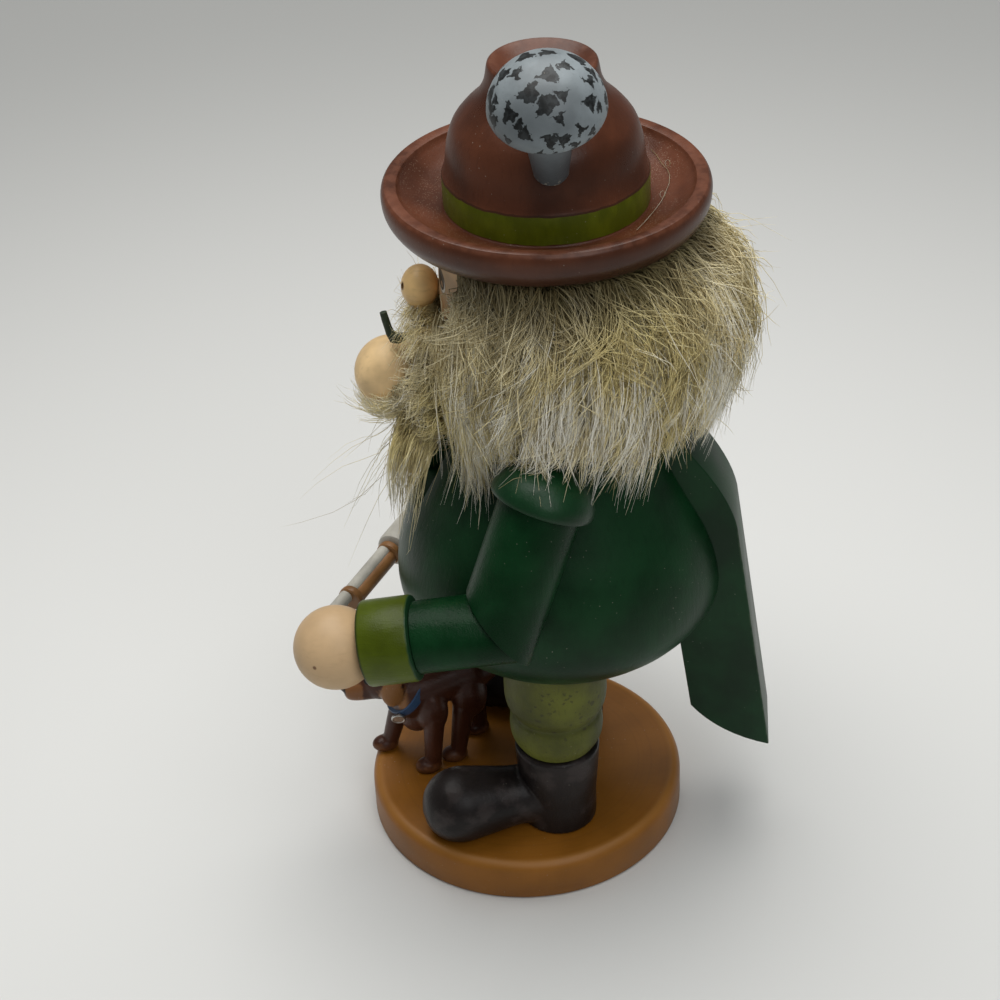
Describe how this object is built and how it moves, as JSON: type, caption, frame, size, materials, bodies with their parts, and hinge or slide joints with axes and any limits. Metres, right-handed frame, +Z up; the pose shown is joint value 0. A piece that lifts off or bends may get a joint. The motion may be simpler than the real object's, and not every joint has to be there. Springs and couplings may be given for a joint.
{
  "type": "wooden nutcracker",
  "caption": "Stout turned-wood nutcracker of a bearded forester with a hat, gun and hound; lifting the coat-tail lever at the back drops the chin and opens the mouth.",
  "frame": {"origin": "centre of the underside of the round base, on the table", "axes": "+Z up, -Y the way the figure faces, +X towards the figure's left hand"},
  "size_m": [0.1541, 0.136, 0.2649],
  "materials": {
    "coat_green": "satin paint",
    "hat_brown": "satin paint, worn at the edges",
    "base_brown": "gloss paint",
    "skin": "satin paint",
    "boot_black": "blotchy gloss paint",
    "stocking": "matt paint with dark flecks",
    "cuff_olive": "satin paint",
    "tuft_grey": "matt paint with black dabs",
    "bare_wood": "bare turned wood",
    "fur": "long animal fur",
    "twig_green": "matt paint",
    "gun_wood": "satin paint",
    "gun_grey": "satin grey paint",
    "dog_brown": "painted casting",
    "collar_blue": "painted casting",
    "tag_metal": "bright",
    "pin_steel": "drawn wire"
  },
  "bodies": {
    "figure": {"base": "base_brown", "body": "coat_green", "head": "skin", "hat": "hat_brown", "hat_dowel": "bare_wood", "hat_tuft": "tuft_grey", "pivot_pin": "pin_steel", "mouth_twig": "twig_green", "nose": "skin", "nose_peg": "bare_wood", "gun_stock": "gun_wood", "gun_barrel": "gun_grey", "gun_receiver": "gun_grey", "hair": "fur", "moustache": "fur", "dog": "dog_brown", "dog_collar": "collar_blue", "dog_tag": "tag_metal", "left_boot_shaft": "boot_black", "left_boot_toe": "boot_black", "left_stocking": "stocking", "left_leg_dowel": "bare_wood", "left_neck_dowel": "bare_wood", "left_shoulder_cap": "coat_green", "left_upper_arm": "coat_green", "left_arm_dowel": "bare_wood", "left_forearm": "coat_green", "left_cuff": "cuff_olive", "left_hand": "skin", "left_wrist_dowel": "bare_wood", "right_boot_shaft": "boot_black", "right_boot_toe": "boot_black", "right_stocking": "stocking", "right_leg_dowel": "bare_wood", "right_neck_dowel": "bare_wood", "right_shoulder_cap": "coat_green", "right_upper_arm": "coat_green", "right_arm_dowel": "bare_wood", "right_forearm": "coat_green", "right_cuff": "cuff_olive", "right_hand": "skin", "right_wrist_dowel": "bare_wood"},
    "jaw": {"jaw_lever": "coat_green", "chin_ball": "skin", "chin_peg": "bare_wood", "beard": "fur"}
  },
  "joints": [
    {"name": "jaw_lever_pivot", "type": "hinge", "parent": "figure", "child": "jaw", "pos_m": [0, 0.016, 0.14], "axis": [1, 0, 0], "range_deg": [0, 32], "deforming": ["beard"]}
  ]
}
